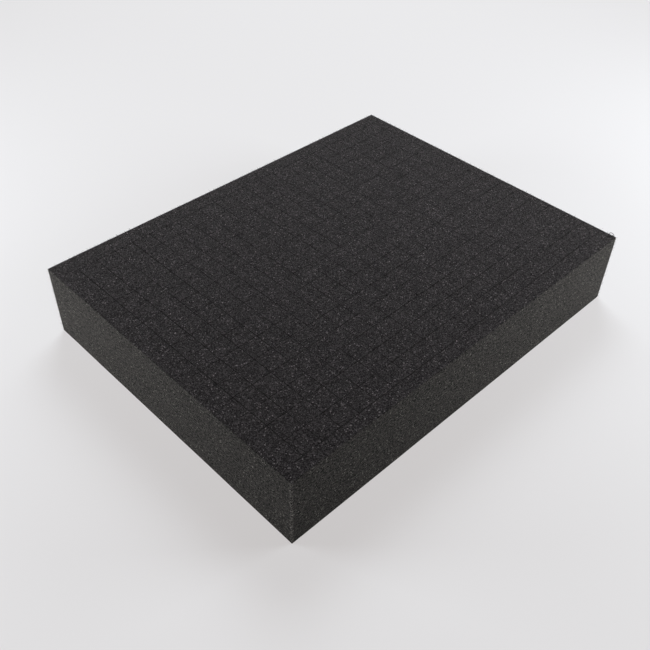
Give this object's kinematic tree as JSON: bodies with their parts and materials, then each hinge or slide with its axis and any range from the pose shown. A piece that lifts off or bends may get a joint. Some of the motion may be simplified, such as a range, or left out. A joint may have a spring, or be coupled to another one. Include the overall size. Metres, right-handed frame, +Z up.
{
  "type": "raster foam tray",
  "caption": "Block of soft open-cell foam, slit from above into small square cells that are torn out by hand to make pockets for small figures.",
  "frame": {"origin": "middle of the underside, on the surface that the tray lies on", "axes": "+X along the length to the right, +Y along the width to the back, +Z up out of the slit face"},
  "size_m": [0.325, 0.25, 0.058],
  "materials": {
    "foam": "dark charcoal open-cell polyurethane foam, cut with a knife and left plain"
  },
  "bodies": {
    "root": {"foam_tray": "foam"}
  },
  "joints": []
}
